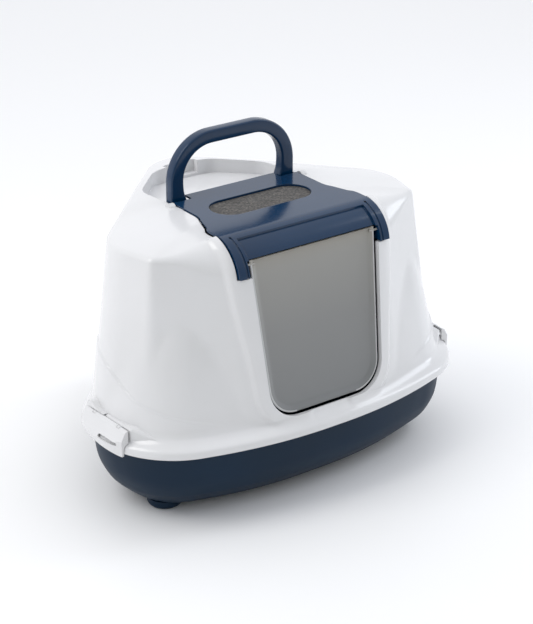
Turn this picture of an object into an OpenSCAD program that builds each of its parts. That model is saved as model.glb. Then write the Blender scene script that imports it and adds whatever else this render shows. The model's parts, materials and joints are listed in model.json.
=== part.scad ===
// Corner cat litter box: pan, hood, flip lid, swing door, carry handle.
// Frame: +X is the right-hand vertex, -Y the doorway, +Z up. The origin is on the floor
// under the middle of the rim's box. Lengths are in millimetres.

/* [Overall size] */
// Width across the rim, from vertex to vertex
body_w = 560; // [500:5:620]
// Depth of the rim, from the front to the back corner
body_d = 450; // [410:5:500]
// Height of the pan's top edge above the floor
pan_h = 111.5; // [90:0.5:130]
// Height of the middle of the roof above the floor
roof_h = 369; // [330:1:440]

/* [Walls and gaps] */
// Wall of the pan, the hood and the lid
wall = 2.8; // [2:0.1:4]
// Gap between parts that slide past one another
gap = 0.5; // [0.3:0.1:0.8]
// Gap all round the lid and the swing door
seam = 1.5; // [1:0.1:2.5]
// Radial clearance of a turning pin in its bore
pin_play = 0.08; // [0.04:0.01:0.1]

/* [Pan and skirt] */
// Height of the skirt's lip below the pan's top edge
skirt_lap = 6; // [4:0.5:9]
// How far the pan's bottom is drawn in from the rim
bottom_inset = 50; // [40:1:60]
// Height of the feet, which is the space under the pan
foot_h = 12.6; // [8:0.2:16]
// Radius of a round foot
foot_r = 24; // [15:1:26]

/* [Flip lid] */
// Half width of the lid's rear part
lid_half = 102; // [96:1:108]
// Half width of the lid across its two arms
arm_half = 120; // [114:1:126]
// Width of each arm
arm_w = 15; // [12:1:18]
// Outer radius of the lid's curved front
front_r = 52; // [44:1:58]
// Depth of an arm from its outer face to its inner face
arm_depth = 12; // [10:0.5:14]
// Height of the front edge above the end of the arms
drape_rise = 20; // [16:1:26]
// Radius of the lid's hinge pins
lid_pin_r = 2.5; // [2:0.1:3]

/* [Filter] */
// Half length of the filter opening
filter_half = 77; // [60:1:84]
// Half width of the filter opening
filter_r = 28.5; // [20:0.5:34]
// Thickness of the felt pad
pad_t = 6; // [4:0.5:8]

/* [Handle] */
// Height of the handle above its pivot
handle_reach = 102; // [85:1:106]
// Width of the handle's bow, seen from the front
handle_band = 18; // [14:0.5:22]
// Thickness of the handle from front to back
handle_t = 15; // [12:0.5:16]
// Radius of the handle's pivot pins
handle_pin_r = 4; // [3:0.1:5]

/* [Swing door] */
// Half width of the door at its top
door_half = 98; // [90:1:99]
// How much narrower each side of the door is at its foot
door_taper = 11; // [0:1:16]
// Height of the bottom of the doorway above the skirt's lip
sill_rise = 24; // [20:1:40]
// Thickness of the door sheet
door_t = 3; // [2:0.1:4]
// Radius of the door's hinge pins
door_pin_r = 2; // [1.6:0.1:2.4]

/* [Hidden] */
$fn = 48;
navy = [0.07, 0.13, 0.25];
white = [0.93, 0.93, 0.94];
eps = 0.01;

// ---- Plan outline: four corners of the right half, each with its rounding radius ----
// The outlines are drawn for a rim of 560 by 450: a wider body moves its vertices outwards,
// and a deeper one moves the front forwards and the back corner backwards.
grow_x = (body_w - 560) / 2;
grow_y = (body_d - 450) / 2;
function plan(points) =
    [for (p = points) [p[0] + (p[0] > 200 ? grow_x : 0), p[1] + (p[1] < 200 ? -grow_y : grow_y)]];
rim_plan = plan([[96.5, -225], [258.8, -177.8], [293.4, -37.1], [0, 256.3]]);
rim_radii = [600, 120, 124, 75];
waist_plan = plan([[105, -197.5], [232, -131], [273, -37], [0, 236]]);
waist_radii = [120, 40, 150, 70];
crown_plan = plan([[112, -168], [213, -113], [234, -28], [0, 206]]);
crown_radii = [60, 14, 140, 60];
steps = [3, 5, 8, 4];

function unit(v) = v / norm(v);
function mirrored(p) = [-p[0], p[1]];
function outward(a, b) = let (d = unit(b - a)) [d[1], -d[0]];
// The four corners with their neighbours on both sides
function chain(p) = [mirrored(p[0]), p[0], p[1], p[2], p[3], mirrored(p[2])];
function inset_corner(c, i, d) =
    let (a = outward(c[i - 1], c[i]), b = outward(c[i], c[i + 1]))
    c[i] - d * (a + b) / (1 + a * b);
function inset_plan(p, d) = let (c = chain(p)) [for (i = [1:4]) inset_corner(c, i, d)];
// Points of the round between two edges that meet at b; a part of 1 is the whole arc
function arc_points(a, b, c, r, n, part = 1) =
    let (u = unit(a - b), v = unit(c - b), half = acos(u * v) / 2,
         run = min(r / tan(half), norm(a - b) * 0.499, norm(c - b) * 0.499),
         radius = run * tan(half), centre = b + unit(u + v) * radius / sin(half),
         from = b + u * run - centre, start = atan2(from[1], from[0]),
         sweep = (180 - 2 * half) * part)
    [for (k = [0:n]) centre + radius * [cos(start + sweep * k / n), sin(start + sweep * k / n)]];
// Half a ring from the front to the back corner, then its mirror image
function half_ring(c, r) =
    [for (i = [1:4]) each arc_points(c[i - 1], c[i], c[i + 1], r[i - 1], steps[i - 1],
                                     i == 4 ? 0.5 : 1)];
function ring(p, r) =
    let (h = half_ring(chain(p), r), m = len(h))
    concat(h, [for (i = [m - 2:-1:0]) mirrored(h[i])]);
function reduced(r, d) = [for (v = r) max(v - d, 6)];
function rim_ring(d) = ring(inset_plan(rim_plan, d), reduced(rim_radii, d));
function lift(points, z) = [for (p = points) [p[0], p[1], z]];
count = len(rim_ring(0));

// A closed solid through rings of equal length, with flat ends
module loft(rings) {
    m = len(rings[0]);
    levels = len(rings);
    sides = [for (k = [0:levels - 2], i = [0:m - 1])
             let (a = k * m + i, b = k * m + (i + 1) % m)
             each [[a, b + m, b], [a, a + m, b + m]]];
    polyhedron(points = [for (r = rings) each r],
               faces = concat([[for (i = [0:m - 1]) i]],
                              sides,
                              [[for (i = [m - 1:-1:0]) (levels - 1) * m + i]]),
               convexity = 8);
}

// ---- Heights ----
skirt_z = pan_h - skirt_lap;
flange_z = pan_h + 0.3 + wall;
waist_z = skirt_z + 60;
crown_z = roof_h - 21;
edge_z = roof_h - 13;
side_round = 9;
front_round = front_r - 2;
front_edge_z = roof_h - 2;
arm_end_z = roof_h - front_r + front_r * 0.158;

// ---- The hood's skin, drawn in by d ----
waist_ring = ring(waist_plan, waist_radii);
crown_ring = ring(crown_plan, crown_radii);
front_points = steps[0];
function on_front(i) = i <= front_points || i >= count - 1 - front_points;
function wall_point(i, z) =
    waist_ring[i] + (crown_ring[i] - waist_ring[i]) * (z - waist_z) / (crown_z - waist_z);
function inward(i) =
    let (d = unit(crown_ring[(i + 1) % count] - crown_ring[(i + count - 1) % count])) [-d[1], d[0]];
function round_at(i) = on_front(i) ? front_round : side_round;
function top_at(i) = on_front(i) ? front_edge_z : edge_z;
function skin_wall(d, z) =
    [for (i = [0:count - 1]) let (p = wall_point(i, z) + inward(i) * d) [p[0], p[1], z]];
function skin_round(d, turn) =
    [for (i = [0:count - 1])
     let (r = round_at(i), z = top_at(i) - r * (1 - sin(turn)),
          p = wall_point(i, top_at(i) - r) + inward(i) * (d + (r - d) * (1 - cos(turn))))
     [p[0], p[1], z - d * sin(turn)]];
middle = [0, -20 - grow_y / 2];
function skin_roof(d, part) =
    [for (p = skin_round(d, 90))
     [middle[0] + (p[0] - middle[0]) * part, middle[1] + (p[1] - middle[1]) * part,
      roof_h - d - (roof_h - d - p[2]) * pow(part, 3)]];
function skin_top(d) = concat([for (turn = [0, 30, 60, 90]) skin_round(d, turn)],
                              [for (part = [0.75, 0.45, 0.15]) skin_roof(d, part)]);
outer_skin = concat([lift(rim_ring(0), skirt_z), lift(rim_ring(1), flange_z),
                     lift(rim_ring(12), flange_z + 6), lift(rim_ring(19), flange_z + 16),
                     skin_wall(0, waist_z)], skin_top(0));
inner_skin = concat([lift(rim_ring(wall), skirt_z - 1), lift(rim_ring(1 + wall), pan_h + 0.3),
                     lift(rim_ring(12 + wall), flange_z + 3), lift(rim_ring(19 + wall), flange_z + 14),
                     skin_wall(wall, waist_z)], skin_top(wall));

// ---- Pan ----
flange_inset = wall + 1.2;
wall_inset = 13;
// Five rings from the floor of the pan to the foot of its flange, drawn in by d
function pan_rings(d, floor_z) = [
    lift(rim_ring(bottom_inset + 4 + d * 1.4), floor_z),
    lift(rim_ring(bottom_inset - 2 + d), floor_z + 4),
    lift(rim_ring(bottom_inset * 0.8 + d), foot_h + 12),
    lift(rim_ring(bottom_inset * 0.54 + d), foot_h + 26),
    lift(rim_ring(wall_inset + 4 + d), foot_h + 51)];
foot_x = 196 + grow_x;
foot_y = -106 - grow_y;
back_foot_y = 128 + grow_y;
foot_places = [[-foot_x, foot_y], [foot_x, foot_y], [0, back_foot_y]];
spigot_r = 5;
foot_round = 6;

module pan() {
    color(navy) difference() {
        loft(concat(pan_rings(0, foot_h),
                    [lift(rim_ring(wall_inset), pan_h - skirt_lap - wall),
                     lift(rim_ring(flange_inset), pan_h - skirt_lap - wall + 1),
                     lift(rim_ring(flange_inset), pan_h)]));
        loft(concat(pan_rings(wall, foot_h + wall),
                    [lift(rim_ring(wall_inset + wall), pan_h - skirt_lap - wall),
                     lift(rim_ring(wall_inset + wall - 1), pan_h + 1)]));
        for (p = foot_places) translate([p[0], p[1], 0]) cylinder(r = spigot_r + 0.02, h = 40);
    }
}

module foot(place) {
    color(navy) translate([place[0], place[1], 0]) {
        rotate_extrude() intersection() {
            square([foot_r, foot_h]);
            union() {
                square([foot_r - foot_round, foot_h]);
                translate([0, foot_round]) square([foot_r, foot_h]);
                translate([foot_r - foot_round, foot_round]) circle(r = foot_round);
            }
        }
        cylinder(r = spigot_r, h = foot_h + wall);
    }
}

// ---- Lid hinge, handle pivot and door pivot ----
lid_axis = [2 - grow_y, roof_h - 6];
handle_axis = [lid_axis[0] + 8 + handle_t / 2, roof_h - 16];
tray_z = handle_axis[1] - handle_t / 2 - 4.5;
tray_front = lid_axis[0] - 26;
tail_y = handle_axis[0] + 3;
tail_half = lid_half - 2 - handle_band - 5;
cheek_x = lid_half + gap;
cheek_w = 11;
pin_end = cheek_x + 8;
arc_y = -125 - grow_y;
arc_z = roof_h - front_r;
door_axis = [arc_y - 41.3, arm_end_z + 14];
lean = atan((crown_plan[0][1] - waist_plan[0][1]) / (crown_z - waist_z));

module along_x(half, at, r) {
    translate([-half, at[0], at[1]]) rotate([0, 90, 0]) cylinder(r = r, h = 2 * half);
}

module side_pins(from, to, at, r) {
    for (s = [-1, 1]) translate([s * (from + to) / 2, at[0], at[1]]) rotate([0, 90, 0])
        cylinder(r = r, h = to - from, center = true);
}

// Prism along X of an outline in Y and Z
module x_prism(half, outline) {
    translate([-half, 0, 0]) rotate([90, 0, 90]) linear_extrude(2 * half) polygon(outline);
}

module z_prism(z0, z1, outline) {
    translate([0, 0, z0]) linear_extrude(z1 - z0) polygon(outline);
}

// ---- Flip lid ----
shoulder_y = arc_y + 66;
flare_y = arc_y + 32;
// Plan of the lid, drawn out by d
function lid_plan(d) =
    let (right = [[arm_half + d, arc_y - 90], [arm_half + d, flare_y - 6 + d],
                  [arm_half - 4 + d, flare_y + d], [lid_half + d, shoulder_y + d],
                  [lid_half + d, lid_axis[0] + 2 + d]])
    concat(right, [for (i = [len(right) - 1:-1:0]) mirrored(right[i])]);
// Outer side of the lid's section in Y and Z, at radius r of the curved front
function front_arc(r, z_end) =
    let (stop = 180 - asin(min(1, (z_end - arc_z) / r)))
    [for (k = [0:14]) let (a = 90 + (stop - 90) * k / 14) [arc_y + r * cos(a), arc_z + r * sin(a)]];
function lid_section(r_out, r_in, z_end) =
    concat([[lid_axis[0] + 40, arc_z + r_out]], front_arc(r_out, z_end),
           [for (i = [14:-1:0]) front_arc(r_in, z_end)[i]], [[lid_axis[0] + 40, arc_z + r_in]]);
filter_y = lid_axis[0] - 53.6;
// The filter, its pad and its holder stay inside a narrower lid
filter_end = min(filter_half, lid_half - 25);

module stadium(half, r, z0, z1) {
    translate([0, filter_y, z0]) linear_extrude(z1 - z0) union() {
        for (s = [-1, 1]) translate([s * (half - r), 0]) circle(r = r);
        square([2 * (half - r), 2 * r], center = true);
    }
}

module flip_lid() {
    color(navy) difference() {
        union() {
            // Top panel and curved front edge
            intersection() {
                x_prism(arm_half, lid_section(front_r, front_r - wall, arm_end_z + drape_rise));
                z_prism(arc_z - 10, roof_h + 1, lid_plan(0));
            }
            // Tail between the handle's legs
            translate([-tail_half, 0, roof_h - wall])
                cube([2 * tail_half, tail_y, wall]);
            // Arms down both sides of the doorway
            for (s = [-1, 1]) translate([s * (arm_half - arm_w / 2), 0, 0])
                x_prism(arm_w / 2, arm_section());
            // Hinge ears under the rear corners
            for (s = [-1, 1]) translate([s * (lid_half - 4), lid_axis[0] - 5, roof_h - 12])
                translate([-4, 0, 0]) cube([8, 9, 12 - eps]);
            side_pins(lid_half - 1, pin_end, lid_axis, lid_pin_r);
            // Posts that carry the filter holder
            for (s = [-1, 1]) translate([s * (filter_end + 9), filter_y, holder_z])
                cylinder(r = 4, h = roof_h - holder_z - wall / 2);
        }
        stadium(filter_end, filter_r, roof_h - wall - 1, roof_h + 1);
        along_x(arm_half - 4, door_axis, door_pin_r + pin_play);
    }
}
function arm_section() =
    concat(front_arc(front_r, arm_end_z), [for (i = [14:-1:0]) front_arc(front_r - arm_depth, arm_end_z)[i]]);

// ---- Filter ----
pad_top = roof_h - wall - 0.1;
holder_z = pad_top - pad_t - 4;

module filter_pad() {
    color([0.25, 0.23, 0.21]) stadium(filter_end + 4, filter_r + 4, pad_top - pad_t, pad_top);
}

module filter_holder() {
    color(navy) difference() {
        union() {
            stadium(filter_end + 16, filter_r + 9, holder_z, holder_z + 2.5);
            difference() {
                stadium(filter_end + 16, filter_r + 9, holder_z, pad_top - 1);
                stadium(filter_end + 14, filter_r + 7, holder_z - 1, pad_top + 1);
            }
            difference() {
                stadium(filter_end + 4, filter_r + 4, holder_z, pad_top - pad_t - 0.1);
                stadium(filter_end + 2, filter_r + 2, holder_z - 1, pad_top + 1);
            }
        }
        for (k = [-4:4]) translate([k * 15, filter_y, holder_z])
            cube([8, 2 * filter_r - 6, 8], center = true);
        for (s = [-1, 1]) translate([s * (filter_end + 9), filter_y, holder_z - 1])
            cylinder(r = 4.02, h = 8);
    }
}

// ---- Handle ----
bow_half = lid_half - 2;
bow_corner = 66;
// Arch of a given half width and height, with round upper corners
module bow_outline(half, top, corner) {
    intersection() {
        translate([-half, -20]) square([2 * half, top + 20]);
        union() {
            translate([-half, -20]) square([2 * half, top - corner + 20]);
            for (s = [-1, 1]) translate([s * (half - corner), top - corner]) circle(r = corner, $fn = 96);
            translate([-(half - corner), 0]) square([2 * (half - corner), top]);
        }
    }
}

module handle() {
    color(navy) translate([0, handle_axis[0], handle_axis[1]]) difference() {
        union() {
            rotate([90, 0, 0]) linear_extrude(handle_t, center = true) difference() {
                bow_outline(bow_half, handle_reach, bow_corner);
                bow_outline(bow_half - handle_band, handle_reach - handle_band,
                            bow_corner - handle_band);
            }
            side_pins(bow_half - 2, pin_end, [0, 0], handle_pin_r);
        }
        // Rounded feet, so that the legs turn over the tray
        for (s = [-1, 1]) difference() {
            translate([s * bow_half - 25, -handle_t, -21]) cube([50, 2 * handle_t, 21]);
            along_x(bow_half + 30, [0, 0], handle_t / 2);
        }
    }
}

// ---- Swing door ----
door_foot_z = skirt_z + sill_rise + seam;
door_len = (door_axis[1] - door_foot_z) / cos(lean);
door_rise = 5;
door_corner = 40;
// Outline of the door in its own plane, drawn out by d, with the pins on the X axis
function door_outline(d) =
    let (top = [door_half + d, door_rise + d], foot = [door_half - door_taper + d, -door_len - d],
         right = concat(arc_points([0, -door_len - d], foot, top, door_corner, 8), [top]))
    concat(right, [for (i = [len(right) - 1:-1:0]) mirrored(right[i])]);

// A sheet in the door's plane, between depths y0 and y1 behind the pins
module door_prism(d, y0, y1, rise = 0) {
    translate([0, door_axis[0], door_axis[1]]) rotate([90 - lean, 0, 0])
        translate([0, 0, -y1]) linear_extrude(y1 - y0)
            polygon([for (p = door_outline(d)) [p[0], p[1] > 0 ? p[1] + rise : p[1]]]);
}

module swing_door() {
    color([0.5, 0.5, 0.5, 0.6]) union() {
        door_prism(0, -door_t / 2, door_t / 2);
        side_pins(door_half - 6, arm_half - 6, door_axis, door_pin_r);
    }
}

// ---- Clips ----
// A clip is drawn about the vertex's own axis: X outwards, Y along its hinge line.
vertex = [153 + grow_x, -76.3 - grow_y];
vertex_r = 127;
clip_turn = -3;
clip_half = 46;
clip_t = 2.8;
clip_in = vertex_r + 0.8;
clip_out = clip_in + clip_t;
clip_foot_z = skirt_z - 3;
clip_axis = [vertex_r - 15, flange_z + 19];
clip_pin_r = 1.5;
knuckle_r = 3;
knuckle_half = 24;
lug_w = 5;
// The lugs reach further in as a wider or narrower body turns the wall behind them
lug_len = 8 + abs(grow_x) / 7;
lug_space = lug_w + 2 * gap;

// Everything under the clip's upper side, or with d = clip_t under its lower side
module clip_bulk(d, radius, half) {
    top = [[clip_axis[0], clip_axis[1] + knuckle_r - d], [vertex_r - 5, flange_z + 10 - d],
           [clip_out - d * 0.5, flange_z + 2 - d], [clip_out, flange_z - 4], [clip_out, 0], [clip_axis[0], 0]];
    intersection() {
        translate([0, half, 0]) rotate([90, 0, 0]) linear_extrude(2 * half) polygon(top);
        translate([0, 0, clip_foot_z]) cylinder(r = radius, h = 60, $fn = 180);
    }
}

module hinge_bar(half, r) {
    translate([clip_axis[0], 0, clip_axis[1]]) rotate([90, 0, 0])
        cylinder(r = r, h = 2 * half, center = true);
}

module clip() {
    color(white) difference() {
        union() {
            difference() {
                clip_bulk(0, clip_out, clip_half);
                translate([-eps, 0, -eps]) clip_bulk(clip_t, clip_in, clip_half + 1);
                // Finger slot
                translate([clip_in - 12, -15, flange_z - 6]) cube([20, 30, 4]);
            }
            hinge_bar(knuckle_half, knuckle_r);
            hinge_bar(knuckle_half + gap + lug_w, clip_pin_r);
        }
        // Room for the hood's two lugs
        for (s = [-1, 1])
            translate([clip_axis[0], s * (knuckle_half + lug_space / 2), clip_axis[1]]) difference() {
                cube([11, lug_space, 24], center = true);
                rotate([90, 0, 0]) cylinder(r = clip_pin_r, h = lug_space + 2, center = true);
            }
    }
}

module lugs() {
    for (s = [-1, 1]) translate([clip_axis[0], s * (knuckle_half + gap + lug_w / 2), clip_axis[1]]) {
        rotate([90, 0, 0]) cylinder(r = knuckle_r, h = lug_w, center = true);
        translate([-lug_len, -lug_w / 2, -knuckle_r]) cube([lug_len, lug_w, 2 * knuckle_r]);
    }
}

module at_vertex(s) {
    translate([s * vertex[0], vertex[1], 0]) rotate([0, 0, s > 0 ? clip_turn : 180 - clip_turn]) children();
}

// ---- Hood ----
tray_back = handle_axis[0] + handle_reach + 18;
tray_diagonal = 186 + min(grow_x, 0) / 2 + grow_y / 2;
notch_half = 26;
// Plan of the sunk tray for the folded handle, drawn out by d
function tray_plan(d) =
    let (front = [cheek_x + d, tray_front - d], elbow = [cheek_x + d, tray_diagonal - cheek_x + d * 0.4],
         heel = [tray_diagonal - tray_back + d * 0.4, tray_back + d], back = [0, tray_back + d],
         right = concat([front], arc_points(front, elbow, heel, 40, 5),
                        arc_points(elbow, heel, back, 30, 5)))
    concat(right, [for (i = [len(right) - 1:-1:0]) mirrored(right[i])]);

module hood() {
    color(white) difference() {
        union() {
            difference() {
                loft(outer_skin);
                loft(inner_skin);
            }
            for (s = [-1, 1]) at_vertex(s) lugs();
            intersection() {
                loft(outer_skin);
                union() {
                    z_prism(tray_z - wall, roof_h, tray_plan(wall));
                    translate([-notch_half - wall, tray_back - 20, tray_z + 4 - wall])
                        cube([2 * (notch_half + wall), 30 + wall, 40]);
                    for (s = [-1, 1]) translate([s * (cheek_x + cheek_w / 2), lid_axis[0] - 8, tray_z - wall])
                        translate([-cheek_w / 2, 0, 0]) cube([cheek_w, 42, 60]);
                }
            }
        }
        z_prism(tray_z, roof_h + 5, tray_plan(0));
        // Finger notch behind the folded handle
        translate([-notch_half, tray_back - 20, tray_z + 4]) cube([2 * notch_half, 30, 40]);
        // Roof opening under the lid and the top of the doorway
        z_prism(arm_end_z - seam, roof_h + 5, lid_opening());
        door_prism(seam * 2, -40, 25, 60);
        side_pins(cheek_x - 1, pin_end + gap, lid_axis, lid_pin_r + pin_play);
        side_pins(cheek_x - 1, pin_end + gap, handle_axis, handle_pin_r + pin_play);
        for (s = [-1, 1]) at_vertex(s) hinge_bar(knuckle_half + gap + lug_w + 1, clip_pin_r + pin_play);
    }
}
function lid_opening() =
    let (p = lid_plan(seam), edge = tray_front)
    [for (q = p) [q[0], min(q[1], edge)]];

pan();
foot(foot_places[0]);  // foot_left
foot(foot_places[1]);  // foot_right
foot(foot_places[2]);  // foot_back
hood();
flip_lid();
handle();
swing_door();
filter_pad();
filter_holder();
at_vertex(-1) clip();  // clip_left
at_vertex(1) clip();  // clip_right
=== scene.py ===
"""Looks of the corner cat litter box: pan, hood, flip lid, door, handle, filter and clips.

Shapes are worked out in millimetres in the CAD's frame: +X is the right-hand vertex,
-Y the doorway, +Z up, and the origin is on the floor under the rim's middle.
"""

import json
import math
import bmesh
import bpy
import numpy as np
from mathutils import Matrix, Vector


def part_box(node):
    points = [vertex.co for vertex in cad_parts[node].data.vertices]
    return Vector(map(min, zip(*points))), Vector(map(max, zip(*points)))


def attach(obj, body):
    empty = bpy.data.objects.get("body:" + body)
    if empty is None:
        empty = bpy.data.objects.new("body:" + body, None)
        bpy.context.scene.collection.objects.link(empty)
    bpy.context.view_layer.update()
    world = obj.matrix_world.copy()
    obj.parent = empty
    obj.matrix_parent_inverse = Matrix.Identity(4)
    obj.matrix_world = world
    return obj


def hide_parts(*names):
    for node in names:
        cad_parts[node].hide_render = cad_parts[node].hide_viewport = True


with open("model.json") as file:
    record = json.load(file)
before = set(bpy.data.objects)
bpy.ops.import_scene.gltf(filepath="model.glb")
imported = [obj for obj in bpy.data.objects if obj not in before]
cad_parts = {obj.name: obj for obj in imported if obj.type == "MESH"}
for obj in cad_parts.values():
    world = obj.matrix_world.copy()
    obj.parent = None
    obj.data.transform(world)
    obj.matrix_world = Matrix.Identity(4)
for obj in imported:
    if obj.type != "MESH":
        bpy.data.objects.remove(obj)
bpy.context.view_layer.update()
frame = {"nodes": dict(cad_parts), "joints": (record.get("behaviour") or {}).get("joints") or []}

MM = 0.001


def node_box(node):
    """Lowest and highest corner of a CAD node, in millimetres."""
    low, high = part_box(node)
    return np.array(low) / MM, np.array(high) / MM


# ---- Sizes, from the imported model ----
hood_low = node_box("hood")[0]
pan_low, pan_high = node_box("pan")
lid_low, lid_high = node_box("flip_lid")
handle_low, handle_high = node_box("handle")
door_low, door_high = node_box("swing_door")
pad_low, pad_high = node_box("filter_pad")
clip_low = node_box("clip_right")[0]
joints = {joint["name"]: joint for joint in frame["joints"]}
lid_axis = np.array(joints["lid_hinge"]["pos_m"]) / MM
handle_axis = np.array(joints["handle_fold"]["pos_m"]) / MM
door_axis = np.array(joints["door_swing"]["pos_m"]) / MM
clip_axis = np.array(joints["right_clip_hinge"]["pos_m"]) / MM

# Moulded walls, the line between two pieces, and the hood's clearance over the pan's rim
wall = 2.8
seam = 1.5
rim_gap = 0.3

# Heights of the hood
skirt_z = hood_low[2]
roof_z = lid_high[2]
over_roof = roof_z + 9
pan_top = pan_high[2]
flange_z = pan_top + rim_gap + wall
waist_z = skirt_z + 60
crown_z = roof_z - 21
side_edge_z = roof_z - 13
front_edge_z = roof_z - 2
side_round, front_round = 9, 50

# The lid's front arc, its arms and the drape between them
front_r = 52
arc_y = -125
arc_z = roof_z - front_r
arm_end_z = lid_low[2]
arm_half, lid_half, arm_w = 120, 102, 15
drape_end_z = arm_end_z + 20
drape_drop = 3

# Plan outlines: four corners of the right half with their rounding radii
CENTRE = np.array([0, -20])
RIM = ([(96.5, -225), (258.8, -177.8), (293.4, -37.1), (0, 256.3)], [600, 120, 124, 75])
WAIST = ([(105, -197.5), (232, -131), (266, -36), (0, 231)], [120, 30, 150, 70])
CROWN = ([(112, -168), (213, -113), (234, -28), (0, 206)], [60, 11, 140, 60])
lean = math.atan((CROWN[0][0][1] - WAIST[0][0][1]) / (crown_z - waist_z))

# Clips, measured outwards from the hinge and along it
clip_radius = 130.6
clip_reach = 18.6
clip_half = 46
clip_clearance = 0.7
knuckle_r, knuckle_half = 3, 24
lug_run, lug_half = 27, 2.5


# ---- Plan outlines ----
def unit(v):
    """The vector at length 1."""
    return v / np.linalg.norm(v)


def arc_points(a, b, c, radius, count, part=1.0):
    """Points of the round between two edges that meet at b."""
    u, v = unit(a - b), unit(c - b)
    half = math.acos(float(np.clip(u @ v, -1, 1))) / 2
    reach = min(np.linalg.norm(a - b), np.linalg.norm(c - b)) * 0.499
    run = min(radius / math.tan(half), reach)
    r = run * math.tan(half)
    centre = b + unit(u + v) * r / math.sin(half)
    start = b + u * run - centre
    first = math.atan2(start[1], start[0])
    turns = first + (math.pi - 2 * half) * part * np.linspace(0, 1, count + 1)
    return centre + r * np.stack([np.cos(turns), np.sin(turns)], 1)


def closed_outline(corners, radii, inset=0.0, count=24):
    """The whole rounded outline, from the middle of the front, drawn in by inset."""
    right = [np.array(c, float) for c in corners]
    flip = np.array([-1, 1])
    chain = [right[0] * flip] + right + [right[2] * flip]
    moved = []
    for before, corner, after in zip(chain, chain[1:], chain[2:]):
        d, e = unit(corner - before), unit(after - corner)
        a, b = np.array([d[1], -d[0]]), np.array([e[1], -e[0]])
        moved.append(corner - inset * (a + b) / (1 + a @ b))
    chain = [moved[0] * flip] + moved + [moved[2] * flip]
    half = [np.array([[0, moved[0][1]]])]
    for i, radius in enumerate(radii):
        part = 0.5 if i == 3 else 1.0
        half.append(arc_points(*chain[i : i + 3], max(radius - inset, 6), count, part))
    half = np.concatenate(half)
    return np.concatenate([half, (half * flip)[::-1][1:-1]])


RAYS = np.linspace(-math.pi / 2, 1.5 * math.pi, 600, endpoint=False)
RAY = np.stack([np.cos(RAYS), np.sin(RAYS)], 1)


def reach_of(outline):
    """How far the outline lies from CENTRE along each ray."""
    step = 1.5
    points = np.concatenate([outline, outline[:1]])
    fine = []
    for a, b in zip(points, points[1:]):
        parts = np.linspace(0, 1, max(2, int(np.linalg.norm(b - a) / step)), endpoint=False)
        fine.append(a + (b - a) * parts[:, None])
    fine = np.concatenate(fine) - CENTRE
    angle = np.mod(np.arctan2(fine[:, 1], fine[:, 0]) + math.pi / 2, 2 * math.pi)
    order = np.argsort(angle)
    return np.interp(
        RAYS + math.pi / 2, angle[order], np.hypot(*fine[order].T), period=2 * math.pi
    )


def smooth(x, low, high):
    """Rises softly from 0 at low to 1 at high."""
    t = np.clip((x - low) / (high - low), 0, 1)
    return t * t * (3 - 2 * t)


def curve(x, xs, ys):
    """A smooth curve through the points that never overshoots them."""
    xs, ys = np.array(xs, float), np.array(ys, float)
    rise = np.diff(ys) / np.diff(xs)
    same_way = rise[1:] * rise[:-1] > 0
    middle = np.where(same_way, 2 * rise[1:] * rise[:-1] / (rise[1:] + rise[:-1] + 1e-12), 0)
    slope = np.concatenate([rise[:1], middle, rise[-1:]])
    x = np.clip(x, xs[0], xs[-1])
    k = int(np.clip(np.searchsorted(xs, x) - 1, 0, len(xs) - 2))
    h = xs[k + 1] - xs[k]
    t = (x - xs[k]) / h
    start = ys[k] * (1 + 2 * t) + slope[k] * h * t
    end = ys[k + 1] * (3 - 2 * t) - slope[k + 1] * h * (1 - t)
    return start * (1 - t) ** 2 + end * t**2


# ---- Meshes ----
def mesh_object(name, points, faces):
    """A mesh object from points in millimetres."""
    data = bpy.data.meshes.new(name)
    data.from_pydata([tuple(p) for p in np.asarray(points, float) * MM], [], faces)
    data.validate()
    made = bpy.data.objects.new(name, data)
    bpy.context.scene.collection.objects.link(made)
    return made


def ring_faces(levels, size):
    """The quads between neighbouring rings."""
    faces = []
    for k in range(levels - 1):
        for i in range(size):
            a, b = k * size + i, k * size + (i + 1) % size
            faces.append((a, b, b + size, a + size))
    return faces


def loft(name, rings):
    """A closed solid through rings of equal length, each end closed by a fan."""
    rings = [np.asarray(r, float) for r in rings]
    size = len(rings[0])
    points = np.concatenate(rings + [rings[0].mean(0)[None], rings[-1].mean(0)[None]])
    faces = ring_faces(len(rings), size)
    low, high = len(points) - 2, len(points) - 1
    last = (len(rings) - 1) * size
    for i in range(size):
        j = (i + 1) % size
        faces.append((j, i, low))
        faces.append((last + i, last + j, high))
    return mesh_object(name, points, faces)


def prism(name, outline, place):
    """A solid between the outline at 0 and at 1, where place(outline, 0 or 1) gives points."""
    outline = np.asarray(outline, float)
    size = len(outline)
    points = np.concatenate([place(outline, 0), place(outline, 1)])
    faces = ring_faces(2, size)
    faces.append(tuple(range(size))[::-1])
    faces.append(tuple(range(size, 2 * size)))
    made = mesh_object(name, points, faces)
    return outward(made)


def outward(made):
    """Turns the faces so that the solid's volume is positive."""
    shape = bmesh.new()
    shape.from_mesh(made.data)
    if shape.calc_volume(signed=True) < 0:
        bmesh.ops.reverse_faces(shape, faces=shape.faces)
        shape.to_mesh(made.data)
    shape.free()
    return made


def z_prism(name, outline, z0, z1):
    """A plan outline drawn up from z0 to z1."""

    def place(points, end):
        z = np.full((len(points), 1), z1 if end else z0)
        return np.hstack([points, z])

    return prism(name, outline, place)


def x_prism(name, outline, x0, x1):
    """A YZ outline drawn along X from x0 to x1."""

    def place(points, end):
        x = np.full((len(points), 1), x1 if end else x0)
        return np.hstack([x, points])

    return prism(name, outline, place)


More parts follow.
